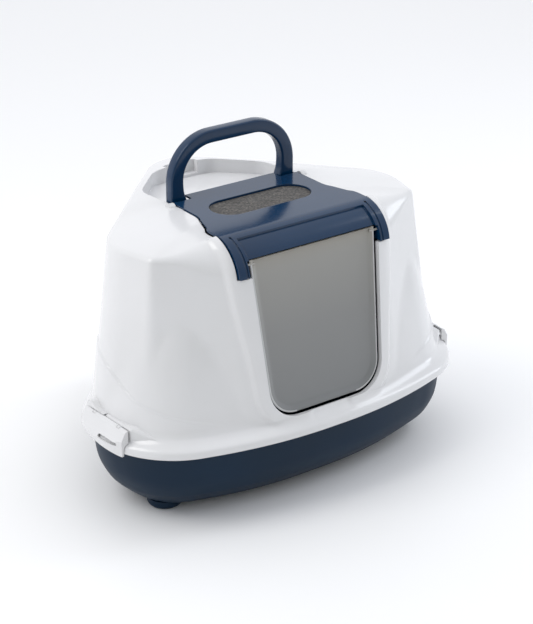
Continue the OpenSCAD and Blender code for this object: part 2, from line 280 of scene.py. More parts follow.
def bar(name, centre, axis, radius, half):
    """A round bar along axis, half long to each side of its centre."""
    axis = unit(np.array(axis, float))
    side = unit(np.cross(axis, [0.3, 0.2, 1]))
    other = np.cross(axis, side)
    turns = np.linspace(0, 2 * math.pi, 48, endpoint=False)
    circle = radius * (np.cos(turns)[:, None] * side + np.sin(turns)[:, None] * other)
    centre = np.array(centre, float)
    return outward(loft(name, [centre - axis * half + circle, centre + axis * half + circle]))


def combine(target, cutter, operation="DIFFERENCE"):
    """Cuts with, joins or keeps only the common part of a second solid, which is used up."""
    modifier = target.modifiers.new("combine", "BOOLEAN")
    modifier.operation = operation
    modifier.solver = "MANIFOLD"
    modifier.object = cutter
    graph = bpy.context.evaluated_depsgraph_get()
    result = bpy.data.meshes.new_from_object(target.evaluated_get(graph))
    target.modifiers.clear()
    target.data = result
    bpy.data.objects.remove(cutter)
    return target


def finish_piece(made, body, node, material, angle=32):
    """Shades the piece smooth but for its sharp edges, and hangs it on its body."""
    made.data.polygons.foreach_set("use_smooth", [True] * len(made.data.polygons))
    made.data.set_sharp_from_angle(angle=math.radians(angle))
    made.data.materials.clear()
    made.data.materials.append(material)
    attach(made, body)
    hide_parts(node)
    return made


# ---- Materials ----
def new_material(name):
    material = bpy.data.materials.new(name)
    material.use_nodes = True
    nodes, links = material.node_tree.nodes, material.node_tree.links
    return material, nodes, links, nodes["Principled BSDF"]


def noise(nodes, links, scale, detail=3.0, stretch=(1, 1, 1)):
    """Noise in the object's own space, so that it moves with the piece."""
    place = nodes.new("ShaderNodeTexCoord")
    mapping = nodes.new("ShaderNodeMapping")
    mapping.inputs["Scale"].default_value = stretch
    texture = nodes.new("ShaderNodeTexNoise")
    texture.inputs["Scale"].default_value = scale
    texture.inputs["Detail"].default_value = detail
    links.new(place.outputs["Object"], mapping.inputs["Vector"])
    links.new(mapping.outputs["Vector"], texture.inputs["Vector"])
    return texture.outputs["Fac"]


def ramp(nodes, links, value, stops):
    """A colour ramp driven by value, from (position, colour) stops."""
    made = nodes.new("ShaderNodeValToRGB")
    made.color_ramp.elements[0].position = stops[0][0]
    made.color_ramp.elements[0].color = stops[0][1]
    made.color_ramp.elements[1].position = stops[-1][0]
    made.color_ramp.elements[1].color = stops[-1][1]
    for place, colour in stops[1:-1]:
        made.color_ramp.elements.new(place).color = colour
    links.new(value, made.inputs["Fac"])
    return made.outputs["Color"]


def spread(nodes, links, value, low, high):
    """Maps value from 0..1 to low..high."""
    made = nodes.new("ShaderNodeMapRange")
    made.inputs["To Min"].default_value = low
    made.inputs["To Max"].default_value = high
    links.new(value, made.inputs["Value"])
    return made.outputs["Result"]


def rounded(nodes, links, shader, radius, height=None, depth=0.0):
    """Soft moulded edges, with a fine surface grain on top."""
    edge = nodes.new("ShaderNodeBevel")
    edge.samples = 6
    edge.inputs["Radius"].default_value = radius * MM
    if height is None:
        links.new(edge.outputs["Normal"], shader.inputs["Normal"])
        return
    bump = nodes.new("ShaderNodeBump")
    bump.inputs["Distance"].default_value = depth * MM
    bump.inputs["Strength"].default_value = 1.0
    links.new(height, bump.inputs["Height"])
    links.new(edge.outputs["Normal"], bump.inputs["Normal"])
    links.new(bump.outputs["Normal"], shader.inputs["Normal"])


def plastic(name, colour, tint, roughness, coat, edge, grain, depth, shine=0.5):
    """Moulded plastic: slightly uneven colour and gloss, and a fine moulding grain."""
    material, nodes, links, shader = new_material(name)
    clouds = noise(nodes, links, 9, 2)
    shades = [(0.3, (*tint, 1)), (0.7, (*colour, 1))]
    links.new(ramp(nodes, links, clouds, shades), shader.inputs["Base Color"])
    smudge = noise(nodes, links, 35, 4)
    low, high = roughness
    links.new(spread(nodes, links, smudge, low, high), shader.inputs["Roughness"])
    shader.inputs["Coat Weight"].default_value = coat
    shader.inputs["Specular IOR Level"].default_value = shine
    shader.inputs["Coat Roughness"].default_value = 0.06
    rounded(nodes, links, shader, edge, noise(nodes, links, grain, 3), depth)
    return material


def door_material():
    """Smoke-grey clear plastic with painted light: darker towards the bottom, paler and warmer towards
    its top.
    """
    material, nodes, links, shader = new_material("smoked_door")
    place = nodes.new("ShaderNodeTexCoord")
    parts = nodes.new("ShaderNodeSeparateXYZ")
    links.new(place.outputs["Object"], parts.inputs["Vector"])
    rise = nodes.new("ShaderNodeMapRange")
    rise.inputs["From Min"].default_value = door_low[2] * MM
    rise.inputs["From Max"].default_value = door_high[2] * MM
    links.new(parts.outputs["Z"], rise.inputs["Value"])
    # Painted light and shade: the colour is darker at the door's foot and paler and warmer at its top
    shades = [
        (0.0, (0.225, 0.232, 0.235, 1)),
        (0.5, (0.27, 0.272, 0.268, 1)),
        (0.9, (0.345, 0.34, 0.32, 1)),
        (1.0, (0.37, 0.35, 0.31, 1)),
    ]
    links.new(ramp(nodes, links, rise.outputs["Result"], shades), shader.inputs["Base Color"])
    smudge = noise(nodes, links, 24, 4)
    links.new(spread(nodes, links, smudge, 0.26, 0.34), shader.inputs["Roughness"])
    shader.inputs["Alpha"].default_value = 0.88
    shader.inputs["Coat Weight"].default_value = 0.25
    shader.inputs["Coat Roughness"].default_value = 0.1
    rounded(nodes, links, shader, 0.8, noise(nodes, links, 420, 2), 0.008)
    return material


def highlight_edge_material():
    """The door's bevelled edge with a painted highlight: a pale colour where the clear edge catches
    the light.
    """
    material, nodes, links, shader = new_material("painted_highlight_edge")
    clouds = noise(nodes, links, 14, 2)
    # Painted highlight: much paler than the smoked door it edges
    shades = [(0.3, (0.60, 0.61, 0.62, 1)), (0.7, (0.68, 0.68, 0.68, 1))]
    links.new(ramp(nodes, links, clouds, shades), shader.inputs["Base Color"])
    shader.inputs["Roughness"].default_value = 0.15
    shader.inputs["Alpha"].default_value = 0.8
    rounded(nodes, links, shader, 0.5)
    return material


def felt_material():
    """Needle-punched carbon felt: mottled grey-brown with short crossing fibres."""
    material, nodes, links, shader = new_material("carbon_felt")
    speckle = noise(nodes, links, 420, 6)
    shades = [
        (0.35, (0.010, 0.009, 0.008, 1)),
        (0.5, (0.042, 0.037, 0.032, 1)),
        (0.68, (0.13, 0.115, 0.10, 1)),
    ]
    links.new(ramp(nodes, links, speckle, shades), shader.inputs["Base Color"])
    shader.inputs["Roughness"].default_value = 0.95
    shader.inputs["Sheen Weight"].default_value = 0.25
    bump = nodes.new("ShaderNodeBump")
    bump.inputs["Distance"].default_value = 0.8 * MM
    fibres = noise(nodes, links, 300, 8, (1, 1.4, 1))
    links.new(fibres, bump.inputs["Height"])
    links.new(bump.outputs["Normal"], shader.inputs["Normal"])
    return material


white_plastic = plastic(
    "white_plastic", (0.745, 0.745, 0.755), (0.715, 0.715, 0.72), (0.16, 0.24), 0.35, 1.2, 240, 0.015
)
navy_gloss = plastic(
    "navy_gloss", (0.001, 0.028, 0.080), (0.001, 0.023, 0.067), (0.13, 0.2), 0.1, 1.0, 260, 0.012, 0.4
)
navy_satin = plastic(
    "navy_satin", (0.002, 0.018, 0.044), (0.002, 0.015, 0.036), (0.42, 0.52), 0.0, 1.0, 700, 0.05, 0.22
)
smoked = door_material()
painted_highlight_edge = highlight_edge_material()
felt = felt_material()


# ---- Hood ----
SKIRT_HEIGHTS = [0, 1.2, 7, 10, 12.5, 15.5, 21.5, 37.5, 57.5, 97.5, 130.5, 260]
SKIRT_INSETS = [0.8, 0, 0.5, 2, 6, 11.5, 18, 24, 29, 38, 46, 95]


def skirt_inset(z):
    """How far the flaring skirt lies inside the rim's outline at height z."""
    return curve(z - skirt_z, SKIRT_HEIGHTS, SKIRT_INSETS)


def hood_wall(z):
    """Reach of the upper wall at height z, with its corners ruled from waist to crown."""
    t = (z - waist_z) / (crown_z - waist_z)
    corners = np.array(WAIST[0]) + (np.array(CROWN[0]) - np.array(WAIST[0])) * t
    radii = np.array(WAIST[1]) + (np.array(CROWN[1]) - np.array(WAIST[1])) * t
    return reach_of(closed_outline(corners, np.maximum(radii, 10)))


def smooth_max(a, b, k):
    """The larger of a and b, blended where they differ by less than k."""
    h = np.clip(0.5 + 0.5 * (a - b) / k, 0, 1)
    return b + (a - b) * h + k * h * (1 - h)


def lift(reach, z):
    """A ring of points at height z, reach from CENTRE along each ray."""
    flat = CENTRE + RAY * reach[:, None]
    return np.column_stack([flat, np.broadcast_to(z, len(flat))])


def front_share():
    """1 where the crown has the front's broad round, 0 round the sides and back."""
    outline = CENTRE + RAY * hood_wall(crown_z)[:, None]
    near, far = np.array(CROWN[0][0]), np.array(CROWN[0][1])
    along = (np.abs(outline[:, 0]) - near[0] - 8) / (far[0] - near[0] - 16)
    share = 1 - smooth(along, 0, 1)
    share[outline[:, 1] > far[1]] = 0
    return share


# The crease: its height at turns in degrees from the doorway, the same on both sides
CREASE_TURNS = [30, 36, 54, 69, 84, 92]
CREASE_HEIGHTS = [124, 128, 149.5, 169.5, 205, 216]


def wall_rings():
    """The hood's outside up to the roof's fillet."""
    flare_top, crease_top = skirt_z + 24, skirt_z + 112
    heights = np.concatenate(
        [
            skirt_z + np.array([0, 0.5, 1.2]),
            np.arange(skirt_z + 3, flare_top, 1.5),
            np.arange(flare_top, crease_top, 1.2),
            np.linspace(crease_top, front_edge_z - front_round - 6, 22),
        ]
    )
    # A crease sweeps down from each side to the front, the wall below it standing a little proud
    crease_step = 2
    blend = 2.0
    turn = np.degrees(np.arctan2(np.abs(RAY[:, 0]), -RAY[:, 1]))
    crease_z = np.array([curve(t, CREASE_TURNS, CREASE_HEIGHTS) for t in turn])
    proud = crease_step * smooth(turn, 30, 42) * (1 - smooth(turn, 92, 108))
    rings = []
    for z in heights:
        skirt = reach_of(closed_outline(*RIM, skirt_inset(z)))
        step = proud * (1 - smooth(z, crease_z - 1, crease_z + 1))
        step = step * smooth(z, skirt_z + 26, skirt_z + 48)
        rings.append(lift(smooth_max(skirt, hood_wall(z), blend) + step, z))
    return rings


def outer_rings():
    """The hood's outside: the wall, the fillet over it and the domed roof."""
    rings = wall_rings()
    share = front_share()
    back_rise = 4
    radius = side_round + (front_round - side_round) * share
    top = side_edge_z + (front_edge_z - side_edge_z) * share
    top = top + back_rise * smooth(rings[-1][:, 1], 0, 120)

    # The wall's lean, measured over a short climb above its last ring
    probe = 20
    base_z = rings[-1][0, 2]
    base = rings[-1][:, :2]
    high = CENTRE + RAY * hood_wall(base_z + probe)[:, None]
    tangent = np.roll(base, -1, 0) - np.roll(base, 1, 0)
    tangent /= np.linalg.norm(tangent, axis=1)[:, None]
    inward = np.stack([-tangent[:, 1], tangent[:, 0]], 1)
    slope = ((high - base) * inward).sum(1) / probe
    tilt = np.arctan(slope)
    centre_z = top - radius
    touch_z = centre_z + radius * np.sin(tilt)
    climb = (high - base) / probe
    for part in np.linspace(0.15, 1, 8)[:-1]:
        z = base_z + (touch_z - base_z) * part
        rings.append(np.column_stack([base + climb * (z - base_z)[:, None], z]))

    # The fillet ends where its slope meets the dome's
    dome_power = 3
    touch = base + climb * (touch_z - base_z)[:, None]
    centre = touch + inward * (radius * np.cos(tilt))[:, None]
    end = np.full(len(base), math.radians(80))
    for _ in range(4):
        z_end = centre_z + radius * np.sin(end)
        flat = centre - inward * (radius * np.cos(end))[:, None]
        distance = np.linalg.norm(flat - CENTRE, axis=1)
        end = math.pi / 2 - np.arctan(dome_power * np.maximum(roof_z - z_end, 0.5) / distance)
    for part in np.linspace(0, 1, 12):
        turn = tilt + (end - tilt) * part
        flat = centre - inward * (radius * np.cos(turn))[:, None]
        rings.append(np.column_stack([flat, centre_z + radius * np.sin(turn)]))
    edge = rings[-1]
    for part in np.concatenate([np.linspace(0.96, 0.3, 18), [0.12]]):
        flat = CENTRE + (edge[:, :2] - CENTRE) * part
        z = roof_z - (roof_z - edge[:, 2]) * part**dome_power
        rings.append(np.column_stack([flat, z]))
    return np.array(rings)


def grid_normals(rings):
    """The outward normal at each point of a grid of rings."""
    along = np.roll(rings, -1, 1) - np.roll(rings, 1, 1)
    up = np.gradient(rings, axis=0)
    normals = np.cross(along, up)
    return normals / np.maximum(np.linalg.norm(normals, axis=2), 1e-9)[..., None]


# ---- Doorway outline, in the door's own leaning plane: X and the height above the pins ----
door_half = 99.5
door_taper = 12.5
door_corner = 40
door_pin_r = 1.6
door_len = (door_axis[2] - door_low[2]) / math.cos(lean)
to_door_up = np.array([math.sin(lean), math.cos(lean)])


def door_outline(d, top):
    """Outline of the door drawn out by d, with its top at the given height."""
    slope = door_taper / door_len
    foot = np.array([door_half - door_taper + d, -door_len - d])
    head = np.array([door_half + d + slope * top, top])
    right = arc_points(np.array([0, foot[1]]), foot, head, door_corner + d, 14)
    right = np.concatenate([right, head[None]])
    return np.concatenate([right, (right * [-1, 1])[::-1]])


def door_place(points, depth):
    """Puts points of the door's plane into space, depth behind the pins' plane."""
    y = door_axis[1] + points[:, 1] * to_door_up[0] + depth * to_door_up[1]
    z = door_axis[2] + points[:, 1] * to_door_up[1] - depth * to_door_up[0]
    return np.column_stack([points[:, 0], y, z])


def door_prism(name, outline, front, back):
    """An outline in the door's plane, between two depths."""
    return prism(name, outline, lambda points, end: door_place(points, back if end else front))


def distance_to(points, outline):
    """Distance of each point from the open polyline."""
    best = np.full(len(points), 1e9)
    for a, b in zip(outline, outline[1:]):
        t = np.clip(((points - a) @ (b - a)) / ((b - a) @ (b - a)), 0, 1)
        best = np.minimum(best, np.linalg.norm(points - a - t[:, None] * (b - a), axis=1))
    return best


def raise_border(rings, normals):
    """A soft raised border round the doorway, wider towards its top."""
    border_rise, fade = 4.2, 9
    flat = rings.reshape(-1, 3)
    raised = flat.copy()
    near = (flat[:, 1] < -120) & (np.abs(flat[:, 0]) < 150) & (flat[:, 2] < front_edge_z)
    offset = flat[near][:, 1:] - door_axis[1:]
    in_plane = np.column_stack([flat[near][:, 0], offset @ to_door_up])
    away = distance_to(in_plane, door_outline(2 * seam, 40))
    height = flat[near][:, 2]
    width = 13 + 11 * smooth(height, skirt_z + 60, arm_end_z)
    lift_by = border_rise * (1 - smooth(away, width, width + fade))
    lift_by = lift_by * smooth(height, skirt_z + 13, skirt_z + 24)
    raised[near] += normals.reshape(-1, 3)[near] * lift_by[:, None]
    return raised.reshape(rings.shape)


# The sunk tray for the folded handle: its sloped sides lie where X + Y is tray_diagonal
handle_reach = 102
tray_z = handle_axis[2] - 12
tray_front = lid_axis[1] - 26
tray_back = handle_axis[1] + handle_reach + 18
tray_diagonal = 186
cheek_x, cheek_w = lid_half + 0.5, 11
notch_half = 26
notch_z = tray_z + 4


def tray_plan(d):
    """Plan of the tray, drawn out by d."""
    front = np.array([cheek_x + d, tray_front - d])
    elbow = np.array([cheek_x + d, tray_diagonal - cheek_x + 0.4 * d])
    heel = np.array([tray_diagonal - tray_back + 0.4 * d, tray_back + d])
    back = np.array([0, tray_back + d])
    rounds = [arc_points(front, elbow, heel, 40, 12), arc_points(elbow, heel, back, 30, 12)]
    right = np.concatenate([front[None], *rounds])
    return np.concatenate([right, (right * [-1, 1])[::-1]])


def rectangle(x0, x1, y0, y1):
    """Corners of a rectangle."""
    return np.array([(x0, y0), (x1, y0), (x1, y1), (x0, y1)], float)


def lid_plan(d):
    """Outline of the lid seen from above, drawn out by d."""
    shoulder, flare = arc_y + 66, arc_y + 32
    right = np.array(
        [
            (arm_half + d, arc_y - 90),
            (arm_half + d, flare - 14 + d),
            (arm_half - 1.5 + d, flare - 6 + d),
            (arm_half - 6 + d, flare + 1 + d),
            (lid_half + 5 + d, shoulder - 10 + d),
            (lid_half + 1.5 + d, shoulder - 2 + d),
            (lid_half + d, shoulder + 7 + d),
            (lid_half + d, lid_axis[1] + 2 + d),
        ],
        float,
    )
    return np.concatenate([right, (right * [-1, 1])[::-1]])


def vertex_frame(side):
    """Origin, outward and hinge-line directions of the clip at the left or right vertex."""
    axis = np.array(joints["right_clip_hinge"]["axis"][:2]) * [side, 1]
    out = np.array([side * abs(axis[1]), -abs(axis[0])])
    hinge = clip_axis[:2] * [side, 1]
    along = np.array([-out[1], out[0]])
    return hinge, out, along


def hinge_ridge(side):
    """The low ridge on the hood over the back end of a clip's hinge."""
    hinge, out, along = vertex_frame(side)
    runs = np.array([46, 46, 43.5, 38, 32, 25, 18, 10, 10]) * side
    rises = np.array([3.6, 9, 12.5, 13, 11.5, 7, 4.6, 3.8, 3.6])

    def place(points, end):
        depth = -18 + 18 * end
        flat = hinge + out * depth + points[:, :1] * along
        return np.column_stack([flat, clip_axis[2] + points[:, 1]])

    return prism("hinge_ridge", np.column_stack([runs, rises]), place)


def hinge_saddle(side):
    """Fills the hood out behind a clip's hinge, and sinks into the skirt in front of it."""
    hinge, out, along = vertex_frame(side)
    section = np.array([(-18, -16), (-3.6, -16), (-3.6, 1.5), (-6, 3.2), (-18, 3.2)])
    rings = []
    end = clip_half - 0.5
    for run, inset, drop in ((end, 0, 0), (-end, 0, 0), (-82, 32, 14)):
        flat = hinge + along * run * side + (section[:, :1] - inset) * out
        rings.append(np.column_stack([flat, clip_axis[2] + section[:, 1] - drop]))
    return outward(loft("hinge_saddle", rings))


def hood_cavity(rings, normals):
    """The room inside the hood, less the solid round the tray, the finger notch and the cheeks."""
    inner = rings - normals * wall
    inner[0] = inner[1] - [0, 0, 4]
    cavity = outward(loft("cavity", list(inner)))
    combine(cavity, z_prism("tray_block", tray_plan(wall), tray_z - wall, over_roof))
    behind = rectangle(-notch_half - wall, notch_half + wall, tray_back - 22, tray_back + 10 + wall)
    combine(cavity, z_prism("notch_block", behind, notch_z - wall, over_roof))
    for side in (-1, 1):
        ends = sorted((side * cheek_x, side * (cheek_x + cheek_w)))
        cheek = rectangle(*ends, lid_axis[1] - 8, lid_axis[1] + 34)
        combine(cavity, z_prism("cheek", cheek, tray_z - wall, over_roof))
    return cavity


def build_hood(rings):
    """The shell with its openings, the tray, and the bosses, lugs and saddles of the hinges."""
    normals = grid_normals(rings)
    hood = outward(loft("hood_shell", list(raise_border(rings, normals))))
    combine(hood, hood_cavity(rings, normals))
    combine(hood, z_prism("tray", tray_plan(0), tray_z, over_roof))
    notch = rectangle(-notch_half, notch_half, tray_back - 20, tray_back + 10)
    combine(hood, z_prism("notch", notch, notch_z, over_roof))
    opening = lid_plan(seam)
    opening[:, 1] = np.minimum(opening[:, 1], tray_front + 2)
    combine(hood, z_prism("lid_gap", opening, arm_end_z - seam, over_roof))
    combine(hood, door_prism("doorway", door_outline(2 * seam, 70), -60, 25))
    for side in (-1, 1):
        # Raised boss over each hinge pin
        boss = [side * (cheek_x + 5), lid_axis[1] - 1, roof_z - 6]
        combine(hood, bar("boss", boss, [1, 0, 0], 7.6, 4), "UNION")
        hinge, out, along = vertex_frame(side)
        for end in (-1, 1):
            lug = hinge + along * end * lug_run
            place = [*lug, clip_axis[2]]
            combine(hood, bar("lug", place, [*along, 0], knuckle_r, lug_half), "UNION")
            root = [*(lug - out * 5), clip_axis[2]]
            combine(hood, bar("lug_arm", root, [*out, 0], 2.4, 5), "UNION")
        combine(hood, hinge_ridge(side), "UNION")
        combine(hood, hinge_saddle(side), "UNION")
    return finish_piece(hood, "hood", "hood", white_plastic, 28)


# ---- Pan and feet ----
PAN_HEIGHTS = [0, 1.2, 3.4, 6.5, 10.4, 16.5, 25.4, 50.4, 80.4, 90]
PAN_INSETS = [57, 53, 49.7, 46, 42, 35.5, 27.8, 17.3, 14, 13]
spigot_r = 5


def build_pan():
    """The tub, with its flange under the hood's skirt and a hole for each foot's spigot."""
    lip_z = skirt_z - wall
    outer, inner = [], []
    for part in np.linspace(0, 1, 40) ** 1.35:
        z = pan_low[2] + (lip_z - pan_low[2]) * part
        inset = curve(z - pan_low[2], PAN_HEIGHTS, PAN_INSETS)
        outer.append((inset, z))
        inner.append((inset + wall, max(z, pan_low[2] + wall)))
    flange, tub = wall + 1.2, PAN_INSETS[-1]
    outer += [(tub, lip_z), (flange + 0.8, lip_z), (flange, lip_z + 0.8)]
    outer += [(flange, pan_top - 1), (flange + 1, pan_top)]
    # The first rings lie under the floor's upper side
    inner = inner[4:] + [(tub + wall - 1, lip_z + 2), (tub + wall - 2, pan_top)]
    rings = []
    for inset, z in outer + inner[::-1]:
        rings.append(lift(reach_of(closed_outline(*RIM, inset)), z))
    pan = outward(loft("pan_shell", rings))
    for foot in ("foot_left", "foot_right", "foot_back"):
        low, high = node_box(foot)
        middle = (low + high) / 2
        hole = bar("spigot_hole", [middle[0], middle[1], 15], [0, 0, 1], spigot_r + 0.02, 25)
        combine(pan, hole)
    return finish_piece(pan, "pan", "pan", navy_satin)


def build_foot(node):
    """A round dome of a foot with its spigot in the pan's floor."""
    low, high = node_box(node)
    middle = (low + high) / 2
    radius = (high[0] - low[0]) / 2
    edge = 7
    height = pan_low[2]
    turns = np.linspace(0, 2 * math.pi, 64, endpoint=False)
    circle = np.column_stack([np.cos(turns), np.sin(turns), np.zeros(64)])
    profile = [(radius - edge, low[2])]
    for a in np.radians(np.linspace(10, 90, 9)):
        profile.append((radius - edge + edge * math.sin(a), low[2] + edge - edge * math.cos(a)))
    profile += [(radius, height), (spigot_r, height)]
    profile += [(spigot_r, high[2] - 0.5), (spigot_r - 0.5, high[2])]
    rings = [middle * [1, 1, 0] + circle * r + [0, 0, z] for r, z in profile]
    foot = outward(loft(node + "_dome", rings))
    return finish_piece(foot, "pan", node, navy_satin)


# ---- Flip lid ----
def front_arc(r, z_end):
    """The lid's front curve in the YZ plane, from its top down to z_end."""
    stop = math.pi - math.asin(min(1, (z_end - arc_z) / r))
    turns = np.linspace(math.pi / 2, stop, 28)
    return np.column_stack([arc_y + r * np.cos(turns), arc_z + r * np.sin(turns)])


def strip(name, x0, x1, r_out, r_in, z_end, y_back):
    """A curved plate from y_back over the front's arc down to z_end."""
    outer, inner = front_arc(r_out, z_end), front_arc(r_in, z_end)
    section = np.concatenate(
        [[(y_back, arc_z + r_out)], outer, inner[::-1], [(y_back, arc_z + r_in)]]
    )
    return x_prism(name, section, x0, x1)


def stadium(half, r):
    """An oblong with round ends."""
    turns = np.linspace(-math.pi / 2, math.pi / 2, 24)
    right = np.column_stack([half - r + r * np.cos(turns), r * np.sin(turns)])
    return np.concatenate([right, -right])


# How far the pad reaches past the lid's opening, under the lid
pad_lap = 4


def filter_plan(grow):
    """Outline of the lid's opening over the pad, drawn out by grow."""
    centre = (pad_low + pad_high) / 2
    half, r = (pad_high[:2] - pad_low[:2]) / 2 - pad_lap
    return stadium(half + grow, r + grow) + centre[:2]


def build_lid():
    """The top with its front arc, the sunk drape, two arms, the hinge's ears and the pad's posts."""
    inner_x = arm_half - arm_w
    back_y = lid_axis[1] + 2
    lid = strip("lid_shell", -arm_half, arm_half, front_r, front_r - wall, drape_end_z, back_y)
    combine(lid, z_prism("plan", lid_plan(0), arc_z - 10, roof_z + 3), "INTERSECT")
    # The drape between the arms lies below the top's edge
    cut_y = arc_y - 16
    drape_r = front_r - drape_drop
    groove = strip("groove", -inner_x + 3, inner_x - 3, front_r + 9, drape_r, arc_z - 6, cut_y)
    combine(groove, z_prism("groove_front", rectangle(-200, 200, -260, cut_y), 0, 500), "INTERSECT")
    combine(lid, groove)
    drape = strip("drape", -inner_x, inner_x, drape_r, drape_r - wall, drape_end_z, cut_y + 8)
    combine(lid, drape, "UNION")
    for side in (-1, 1):
        ends = sorted((side * inner_x, side * arm_half))
        combine(lid, strip("arm", *ends, front_r, front_r - 12, arm_end_z, arc_y), "UNION")
        # Channel between the arm's outer face and its raised inner lip
        ends = sorted((side * (inner_x + 2), side * (inner_x + 5)))
        channel = strip("channel", *ends, front_r + 2, front_r - 1.2, arm_end_z - 9, cut_y)
        combine(lid, channel)
    # The tail between the handle's feet
    tail_half = 72.5
    tail = rectangle(-tail_half, tail_half, -12, handle_axis[1] + 3)
    combine(lid, z_prism("tail", tail, roof_z - wall, roof_z), "UNION")
    for side in (-1, 1):
        x = side * (lid_half - 4)
        ear = rectangle(x - 4, x + 4, lid_axis[1] - 5, lid_axis[1] + 4)
        combine(lid, z_prism("ear", ear, roof_z - 12, roof_z - 0.5), "UNION")
        pin = [side * (lid_half + 3), *lid_axis[1:]]
        combine(lid, bar("pin", pin, [1, 0, 0], 2.5, 6.5), "UNION")
        post = [side * 86, (pad_low[1] + pad_high[1]) / 2, roof_z - 8]
        combine(lid, bar("post", post, [0, 0, 1], 4, 7), "UNION")
    combine(lid, z_prism("filter_gap", filter_plan(0), roof_z - wall - 2, roof_z + 3))
    combine(lid, bar("door_bore", door_axis, [1, 0, 0], door_pin_r + 0.1, arm_half - 4))
    return finish_piece(lid, "lid", "flip_lid", navy_gloss)


# ---- Handle ----
def build_handle():
    """A rounded-rectangle section swept along the arch, its legs flared at the feet."""
    half, band, corner, edge = 100, 18, 66, 2.8
    top = handle_high[2] - band / 2
    middle = half - band / 2
    r = corner - band / 2
    foot = handle_axis[2] - 7
    path = [(middle, foot + (top - r - foot) * t) for t in np.linspace(0, 1, 10)[:-1]]
    for turn in np.linspace(0, math.pi / 2, 26):
        path.append((middle - r + r * math.cos(turn), top - r + r * math.sin(turn)))
    path = np.array(path)
    path = np.concatenate([path, (path * [-1, 1])[::-1]])
    step = np.gradient(path, axis=0)
    step /= np.linalg.norm(step, axis=1)[:, None]
    out = np.column_stack([step[:, 1], -step[:, 0]])
    thick = handle_high[1] - handle_low[1]
    rings = []
    for (x, z), (ox, oz) in zip(path, out):
        flare = 10 * (1 - smooth(z, handle_axis[2] - 4, handle_axis[2] + 34)) ** 1.5
        leg = 2 * (1 - smooth(z, handle_axis[2] + 20, top - 10))
        section = rounded_box(-band / 2 - flare - leg, band / 2, thick / 2 + 0.6, edge)
        points = np.column_stack(
            [x + section[:, 0] * ox, handle_axis[1] + section[:, 1], z + section[:, 0] * oz]
        )
        rings.append(points)
    handle = outward(loft("handle_bow", rings))
    for side in (-1, 1):
        pin = [side * (half + 4), *handle_axis[1:]]
        combine(handle, bar("pin", pin, [1, 0, 0], 4, 6), "UNION")
    return finish_piece(handle, "handle", "handle", navy_gloss, 40)


def rounded_box(x0, x1, half_y, r):
    """Outline of a rectangle with round corners."""
    points = []
    for cx, cy, first in (
        (x1 - r, half_y - r, 0),
        (x0 + r, half_y - r, 90),
        (x0 + r, r - half_y, 180),
        (x1 - r, r - half_y, 270),
    ):
        for turn in np.radians(np.linspace(first, first + 90, 5)):
            points.append((cx + r * math.cos(turn), cy + r * math.sin(turn)))
    return np.array(points)


# ---- Swing door ----
def build_door():
    """A clear sheet with a dished middle and a bevelled rim, hung on two pins."""
    # How far each ring is drawn out from the outline, and its depth behind the pins
    profile = [(-12, 4.6), (-9, 4.4), (-4, 1.7), (-1.5, 1.5), (0, 1), (0, -0.9), (-0.6, -1.5)]
    profile += [(-2.4, -1.5), (-3.4, -1.1), (-8, 1.7), (-9.5, 2.1), (-12, 2.1)]
    top, highlight_band_width = 5, 2.2
    rings = [door_place(door_outline(draw, top), depth) for draw, depth in profile]
    door = outward(loft("door_sheet", rings))
    for side in (-1, 1):
        pin = [side * 103, *door_axis[1:]]
        combine(door, bar("pin", pin, [1, 0, 0], door_pin_r, 11), "UNION")
    finish_piece(door, "door", "swing_door", smoked, 24)
    # The faces along the door's sides and bottom get the painted highlight
    door.data.materials.append(painted_highlight_edge)
    outline = door_outline(0, top)
    for face in door.data.polygons:
        place = np.array(face.center) / MM
        offset = place[1:] - door_axis[1:]
        flat = np.array([[place[0], offset @ to_door_up]])
        near_edge = distance_to(flat, outline)[0] < highlight_band_width and flat[0, 1] < 2
        face.material_index = 1 if near_edge else 0
    return door


# ---- Filter ----
def build_pad():
    """The felt pad, with a softly uneven top."""
    plan = filter_plan(0)
    rings = []
    low, high = pad_low[2], pad_high[2]
    for grow, z in ((pad_lap, low), (pad_lap, high - 1.5), (3, high - 0.5), (1.5, high)):
        rings.append(np.column_stack([filter_plan(grow), np.full(len(plan), z)]))
    centre = plan.mean(0)
    for part in np.linspace(0.95, 0.1, 12):
        flat = centre + (plan - centre) * part
        wave = 0.35 * np.sin(flat[:, 0] * 0.35) * np.cos(flat[:, 1] * 0.4)
        rings.append(np.column_stack([flat, high - 0.4 + wave]))
    pad = outward(loft("filter_felt", rings))
    return finish_piece(pad, "lid", "filter_pad", felt, 50)


# ---- Clips ----
def grown_hood():
    """The hood's outside grown by the clip's clearance, to fit the clip's end walls to it."""
    rings = hood_rings + grid_normals(hood_rings) * clip_clearance
    rings[0] = rings[1] - [0, 0, 30]
    return outward(loft("grown_hood", list(rings)))


